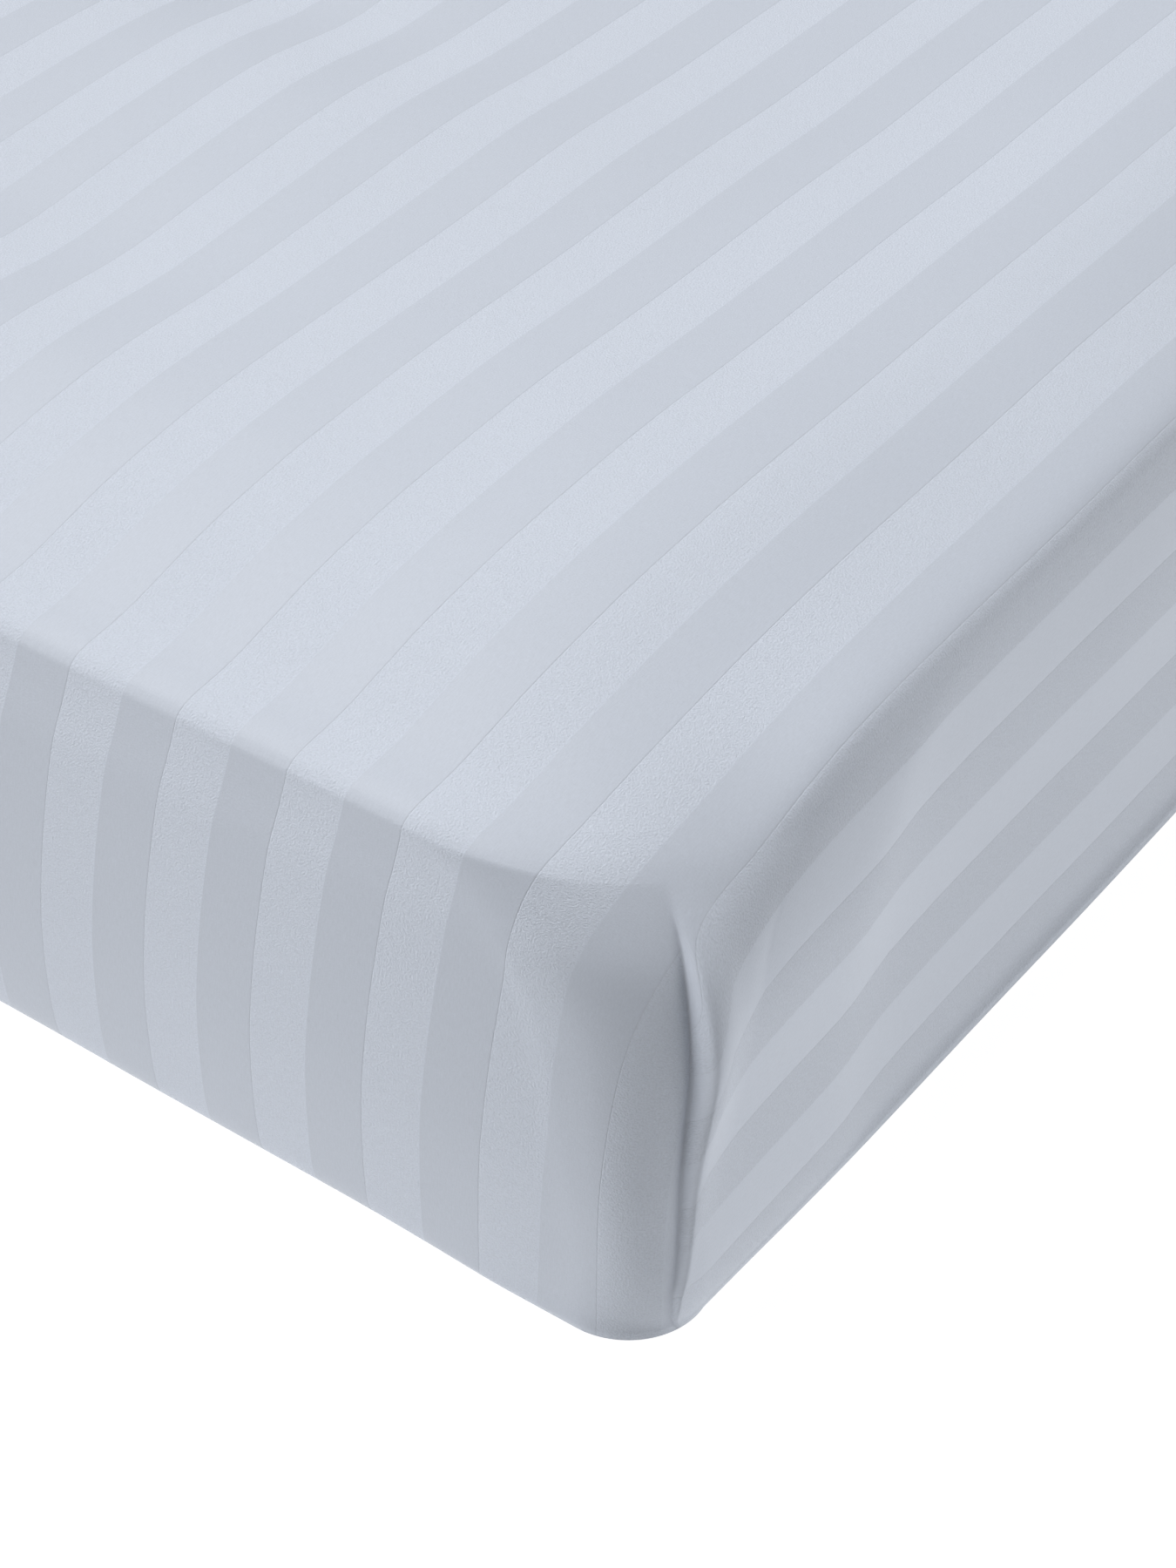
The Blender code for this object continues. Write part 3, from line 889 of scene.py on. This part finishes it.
@dataclass(frozen=True)
class SateenFinish:
    """Cotton sateen with satin stripes: every other stripe shows its weft and looks grainier."""

    colour: tuple[float, float, float] = (0.540, 0.580, 0.655)
    stripe: float = 0.032
    first_line: float = 0.573
    edge: float = 0.0003
    hairline: float = 0.0005
    hairline_depth: float = 0.07
    # stripe contrast on the top, the end walls and the side walls: partly the weave's own tone and
    # partly painted sheen; the sign that turns over on the side walls is painted sheen
    top_tone_and_painted_sheen: float = 0.042
    end_tone_and_painted_sheen: float = 0.058
    side_tone_and_painted_sheen: float = -0.036
    grains: float = 1000.0
    grain_contrast: float = 0.075
    smooth_grain_contrast: float = 0.026
    roughness: float = 0.62
    satin_roughness: float = 0.50
    broad_grains: tuple[float, float, float] = (9.0, 5.0, 1.0)
    broad_contrast: float = 0.03
    blend: tuple[float, float] = (-0.010, 0.015)
    smooth_relief: float = 0.3
    bump: float = 0.00022
    sheen: float = 0.12
    sheen_roughness: float = 0.45
    specular: float = 0.30

    def pattern(self, rim: tuple[float, float, float]) -> bpy.types.NodeTree:
        """Stripes of the cloth as a node group.

        With w the first coordinate in repeats of two stripes, a triangle wave of w gives the
        stripe, and its distance from a whole number gives the dark hairline between two stripes.
        Halfway between two of those runs a faint bright one.

        Args:
            rim: Half width, half length and corner radius of the top.

        Returns:
            The group, with outputs Tone, Roughness and Height.
        """
        tree, graph = new_group("satin_stripe", ("Place", "Calm"), ("Tone", "Roughness", "Height"))
        place = tree.nodes["Group Input"].outputs["Place"]
        split = graph.node("ShaderNodeSeparateXYZ")
        graph.feed(split.inputs[0], place)
        x, repeat = split.outputs["X"], 2.0 * self.stripe
        w = graph.math("DIVIDE", graph.math("SUBTRACT", x, self.first_line), repeat)
        wave = graph.math("PINGPONG", graph.math("ADD", w, 0.25), 0.5)
        soft = self.edge / repeat
        weft = graph.ramp(wave, 0.25 - soft, 0.25 + soft, 0.0, 1.0)
        away = graph.math("MULTIPLY", graph.math("PINGPONG", w, 0.5), repeat)
        line = graph.ramp(away, 0.0, self.hairline, 1.0, 0.0)
        other = graph.math("PINGPONG", graph.math("ADD", w, 0.5), 0.5)
        other = graph.math("MULTIPLY", other, repeat)
        bright_line = graph.ramp(other, 0.0, self.hairline, 1.0, 0.0)
        across = graph.math("ABSOLUTE", x)
        along = graph.math("ABSOLUTE", split.outputs["Y"])
        # painted sheen: the stripes' contrast is set by region, larger on the end walls than on the
        # top and turned over on the side walls, and the calm attribute fades it by the creases as a
        # painted stand-in for the slanting light there
        low, high = self.blend
        base = self.top_tone_and_painted_sheen
        end = graph.ramp(along, rim[1] + low, rim[1] + high, 0.0, self.end_tone_and_painted_sheen - base)
        side = graph.ramp(across, rim[0] + low, rim[0] + high, 0.0, self.side_tone_and_painted_sheen - base)
        contrast = graph.math("ADD", graph.math("ADD", end, side), base)
        kept = graph.math("SUBTRACT", 1.0, tree.nodes["Group Input"].outputs["Calm"])
        contrast = graph.math("MULTIPLY", contrast, kept)
        signed = graph.fused(weft, 2.0, -1.0)
        grain = graph.node("ShaderNodeGroup", node_tree=grain_group())
        graph.fill(grain, {"Place": place, "Grains": self.grains})
        smooth = self.smooth_grain_contrast
        depth = graph.fused(weft, self.grain_contrast - smooth, smooth)
        speck = graph.math("MULTIPLY", grain.outputs["Pebble"], depth)
        streak = graph.math("MULTIPLY", grain.outputs["Thread"], smooth)
        broad = graph.math("SUBTRACT", graph.noise(place, self.broad_grains, 2.0), 0.5)
        tone = graph.fused(signed, contrast, 1.0)
        tone = graph.math("ADD", tone, speck)
        tone = graph.math("ADD", tone, streak)
        tone = graph.fused(broad, self.broad_contrast, tone)
        tone = graph.fused(line, -self.hairline_depth, tone)
        tone = graph.fused(bright_line, self.hairline_depth / 3.0, tone)
        satin = self.satin_roughness
        rough = graph.fused(weft, self.roughness - satin, satin)
        relief = graph.fused(weft, 1.0 - self.smooth_relief, self.smooth_relief)
        height = graph.math("MULTIPLY", grain.outputs["Pebble"], relief)
        height = graph.fused(line, -1.0, height)
        outputs = {"Tone": tone, "Roughness": rough, "Height": height}
        graph.fill(tree.nodes["Group Output"], outputs)
        return tree

    def material(self, rim: tuple[float, float, float]) -> bpy.types.Material:
        """Material of the sheet.

        Args:
            rim: Half width, half length and corner radius of the top.

        Returns:
            The material.
        """
        material, graph, shader = start_material("sateen_stripe")
        place = graph.node("ShaderNodeUVMap", uv_map=CLOTH_MAP)
        pattern = graph.node("ShaderNodeGroup", node_tree=self.pattern(rim))
        calm = graph.node("ShaderNodeAttribute", attribute_name=CALM_MAP)
        graph.fill(pattern, {"Place": place.outputs["UV"], "Calm": calm.outputs["Fac"]})
        values = {
            "Base Color": graph.scaled(self.colour, pattern.outputs["Tone"]),
            "Roughness": pattern.outputs["Roughness"],
            "Sheen Weight": self.sheen,
            "Sheen Roughness": self.sheen_roughness,
            "Specular IOR Level": self.specular,
        }
        graph.fill(shader, values)
        graph.bump(shader, pattern.outputs["Height"], self.bump)
        return material


@dataclass(frozen=True)
class TickingFinish:
    """Plain mattress ticking: a close cotton twill."""

    colour: tuple[float, float, float] = (0.78, 0.76, 0.71)
    grains: float = 700.0
    twill: float = 0.0022
    contrast: float = 0.04
    base_tone: float = 0.97
    bump: float = 0.0004
    roughness: float = 0.8
    sheen: float = 0.1

    def material(self) -> bpy.types.Material:
        """Material of the mattress, on Object coordinates, with diagonal ribs of the twill."""
        material, graph, shader = start_material("ticking")
        place = graph.node("ShaderNodeTexCoord").outputs["Object"]
        grain = graph.node("ShaderNodeGroup", node_tree=bpy.data.node_groups["woven_grain"])
        graph.fill(grain, {"Place": place, "Grains": self.grains})
        split = graph.node("ShaderNodeSeparateXYZ")
        graph.feed(split.inputs[0], place)
        slant = graph.math("ADD", split.outputs["X"], split.outputs["Y"])
        wave = graph.math("PINGPONG", slant, self.twill / 2.0)
        rib = graph.math("MULTIPLY", wave, 2.0 / self.twill)
        tone = graph.fused(grain.outputs["Pebble"], self.contrast, self.base_tone)
        tone = graph.fused(rib, self.contrast, tone)
        tinted = graph.scaled(self.colour, tone)
        values = {"Base Color": tinted, "Roughness": self.roughness, "Sheen Weight": self.sheen}
        graph.fill(shader, values)
        graph.bump(shader, graph.math("ADD", rib, grain.outputs["Pebble"]), self.bump)
        return material


# ---- pieces ----
@dataclass
class FittedSheet:
    """The sheet: one cloth over the top, down the walls and in under the mattress."""

    form: BedForm
    finish: SateenFinish
    thickness: float = 0.0005
    corner: tuple[int, int] = (30, 34)
    step: tuple[float, float] = (0.0035, 0.020)

    def levels(self) -> Array:
        """Lengths down from the rim of the cloth's levels, closest at the rim and at the floor."""
        stretches = (
            # start, end, levels
            (0.0000, 0.0120, 7),
            (0.0120, 0.0600, 9),
            (0.0600, 0.1720, 11),
            (0.1720, 0.2323, 14),
            (0.2323, 0.3388, 5),
        )
        parts = [np.linspace(start, end, count, endpoint=False) for start, end, count in stretches]
        return np.concatenate((*parts, [stretches[-1][1]]))

    def build(self) -> bpy.types.Object:
        """Build the cloth's skin with its flat map, and thicken it inwards."""
        stations = Stations.graded(self.form.straight, self.corner, self.step)
        top = self.form.top_points(stations)
        walls = WallCloth(self.form, stations, self.levels())
        down = walls.points()
        points = np.vstack((top.reshape(-1, 3), down[1:].reshape(-1, 3)))
        levels = len(walls.down) - 1
        quads = stations.quads(levels, closed=False)
        body = mesh_object("sheet_cloth", points, quads)
        flat = self.flat_places(stations, top, walls, quads).astype(np.float32)
        body.data.uv_layers.new(name=CLOTH_MAP).uv.foreach_set("vector", flat.ravel())
        calm = np.concatenate((np.zeros(top.size // 3), walls.calm()[1:].ravel()))
        layer = body.data.attributes.new(CALM_MAP, "FLOAT", "POINT")
        layer.data.foreach_set("value", calm.astype(np.float32))
        skin = body.modifiers.new("cloth", "SOLIDIFY")
        skin.thickness = self.thickness
        skin.offset = -1.0
        return body

    def flat_places(self, stations: Stations, top: Array, walls: WallCloth, quads: Array) -> Array:
        """Flat coordinates of every face corner, cut apart along the creases.

        Args:
            stations: The grid lines.
            top: Points of the top.
            walls: The walls' cloth.
            quads: All faces.

        Returns:
            One row a face corner, in the faces' order.
        """
        width, depth = len(stations.across) - 1, len(stations.along) - 1
        flat = np.stack((self.form.girth(top[..., 0]), top[..., 1]), axis=-1).reshape(-1, 2)
        over_top = flat[quads[: width * depth]].reshape(-1, 2)
        corners = []
        for panel in (Panel.END, Panel.SIDE):
            places = walls.cloth_places(panel)
            after = np.roll(places, -1, axis=1)
            corners.append(np.stack((places[:-1], places[1:], after[1:], after[:-1]), axis=2))
        side = walls.panels()[None, :, None, None]
        chosen = np.where(side, corners[1], corners[0])
        return np.vstack((over_top, chosen.reshape(-1, 2)))

    def flat_size(self) -> tuple[float, float, float]:
        """Width, length and area of the cloth as it is cut, before its corners are sewn.

        The width and the length are the top's, with the walls and the turned-in edge on both sides,
        and the corners are cut away but for a quarter of their square.
        """
        half_x, half_y, _ = self.form.rim
        coarse = Stations.graded(self.form.straight, (2, 2), (0.1, 0.3))
        walls = WallCloth(self.form, coarse, self.levels())
        side, end = walls.fallen(Column.SIDE_IN)[-1], walls.fallen(Column.FOOT_IN)[-1]
        width, length = 2.0 * (half_x + side), 2.0 * (half_y + end)
        return width, length, width * length - 4.0 * CORNER_CUT * side * end

    def make(self) -> bpy.types.Object:
        body = self.build()
        body.data.materials.append(self.finish.material(self.form.rim))
        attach(body, "root")
        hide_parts("fitted_sheet")
        return body


@dataclass
class Mattress:
    """The mattress under the sheet, plain: the bed's form drawn in, with a flat underside.

    Inset is how far it lies inside the cloth, lift is its height above the turned-in cloth, and the
    underside that it stands on starts by the rebate further in than the cloth's edge.
    """

    form: BedForm
    finish: TickingFinish
    inset: float = 0.0032
    lift: float = 0.0030
    rebate: float = 0.012
    rebate_radius: float = 0.020
    upper: float = 0.100
    corner: tuple[int, int] = (8, 8)
    step: tuple[float, float] = (0.010, 0.014)

    def build(self) -> bpy.types.Object:
        """Build the closed body: top, walls, the part over the turned-in cloth, and the underside.

        The walls' points move towards the bed's middle, and above the upper height down as well.
        """
        form = self.form
        stations = Stations.graded(form.straight, self.corner, self.step)
        down = np.array([row[Column.DOWN] for row in WALL[:-1]])
        rings = WallCloth(form, stations, down, rolled=False).points()
        reach = np.hypot(rings[..., 0], rings[..., 1])[..., None]
        rings = rings - rings * np.array((1.0, 1.0, 0.0)) / reach * self.inset
        lowered = rings[..., 2] - self.inset * (rings[..., 2] > self.upper)
        rings[..., 2] = np.maximum(lowered, self.lift)
        over, up = stations.loop()
        top = form.top_points(stations) - np.array((0.0, 0.0, self.inset))
        top[over, up] = rings[0]
        hem_in = WALL[-1][Column.SIDE_IN] + self.rebate
        half_x, half_y = form.half_width - hem_in, form.half_length - hem_in
        x, y = form.plan(*stations.grid(), half_x, half_y, self.rebate_radius)
        under = np.stack((x, y, np.zeros_like(x)), axis=-1)
        step = under[over, up] + np.array((0.0, 0.0, self.lift))
        levels = np.concatenate((rings[1:], [step, under[over, up]]))
        parts = (top, levels, under[1:-1, 1:-1])
        points = np.vstack([part.reshape(-1, 3) for part in parts])
        return mesh_object("mattress_body", points, stations.quads(len(levels), closed=True))

    def make(self) -> bpy.types.Object:
        body = self.build()
        body.data.materials.append(self.finish.material())
        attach(body, "root")
        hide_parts("mattress")
        return body


@dataclass
class Studio:
    """White floor, soft light from both sides, and the camera."""

    floor_half: float = 7.0
    floor_drop: float = 0.0005
    floor_tone: float = 0.20
    floor_cloud: float = 0.01
    floor_glow: float = 0.92
    ambient: float = 0.03
    spread: float = 40.0
    camera_place: tuple[float, float, float] = (1.2406, -1.7923, 1.1821)
    turn: float = 35.73
    tilt: float = 39.64
    lens: float = 79.76
    sensor: float = 36.0

    def floor(self) -> None:
        """Lay the floor as a flat grid, faintly clouded."""
        line = np.linspace(-self.floor_half, self.floor_half, 9)
        x, y = np.meshgrid(line, line, indexing="ij")
        quads = cells(np.arange(x.size).reshape(x.shape))
        points = np.stack((x, y, np.full_like(x, -self.floor_drop)), axis=-1)
        floor = mesh_object("floor", points.reshape(-1, 3), quads)
        material, graph, shader = start_material("studio_floor")
        place = graph.node("ShaderNodeTexCoord").outputs["Object"]
        cloud = graph.noise(place, (3.0, 3.0, 3.0), 2.0)
        tone = graph.ramp(cloud, 0.3, 0.7, self.floor_tone, self.floor_tone + self.floor_cloud)
        graph.fill(shader, {"Base Color": tone, "Roughness": 0.9})
        graph.fill(shader, {"Emission Color": WHITE, "Emission Strength": self.floor_glow})
        floor.data.materials.append(material)

    def sun(self, name: str, towards: tuple[float, float, float], strength: float) -> None:
        """Add one wide soft light.

        Args:
            name: Its name.
            towards: Direction from the bed to the light.
            strength: Brightness of a white surface that faces it.
        """
        lamp = bpy.data.lights.new(name, "SUN")
        lamp.energy = strength * math.pi
        lamp.angle = math.radians(self.spread)
        body = bpy.data.objects.new(name, lamp)
        body.rotation_euler = Vector(towards).to_track_quat("Z", "Y").to_euler()
        bpy.context.scene.collection.objects.link(body)

    def camera(self) -> None:
        """Set up the camera at the photograph's viewing angle."""
        data = bpy.data.cameras.new("camera")
        data.sensor_fit = "VERTICAL"
        data.sensor_height = self.sensor
        data.lens = self.lens
        camera = bpy.data.objects.new("camera", data)
        camera.location = self.camera_place
        camera.rotation_euler = (math.radians(90.0 - self.tilt), 0.0, math.radians(self.turn))
        bpy.context.scene.collection.objects.link(camera)
        bpy.context.scene.camera = camera

    def make(self) -> None:
        """Set up floor, lights, surroundings and camera."""
        self.floor()
        self.sun("key_light", (-0.50, 0.15, 0.85), 0.79)
        self.sun("window_light", (-0.70, -0.52, 0.49), 0.54)
        self.sun("side_light", (0.72, 0.56, 0.40), 0.39)
        world = bpy.data.worlds.new("surroundings")
        world.use_nodes = True
        light = {"Strength": self.ambient, "Color": WHITE}
        Graph(world.node_tree).fill(world.node_tree.nodes["Background"], light)
        bpy.context.scene.world = world
        bpy.context.scene.view_settings.view_transform = "Standard"
        self.camera()


def main() -> None:
    """Build the sheet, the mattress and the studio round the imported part."""
    logging.basicConfig(level=logging.INFO, format="%(message)s")
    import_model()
    low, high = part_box("fitted_sheet")
    form = BedForm(half_width=(high.x - low.x) / 2.0, half_length=(high.y - low.y) / 2.0)
    sheet = FittedSheet(form, SateenFinish())
    cloth = sheet.make()
    LOG.info("sheet: %d faces", len(cloth.data.polygons))
    mattress = Mattress(form, TickingFinish()).make()
    LOG.info("mattress: %d faces", len(mattress.data.polygons))
    width, length, area = sheet.flat_size()
    LOG.info("cut %.3f x %.3f m, %.3f square metres", width, length, area)
    Studio().make()


if __name__ == "__main__":
    main()
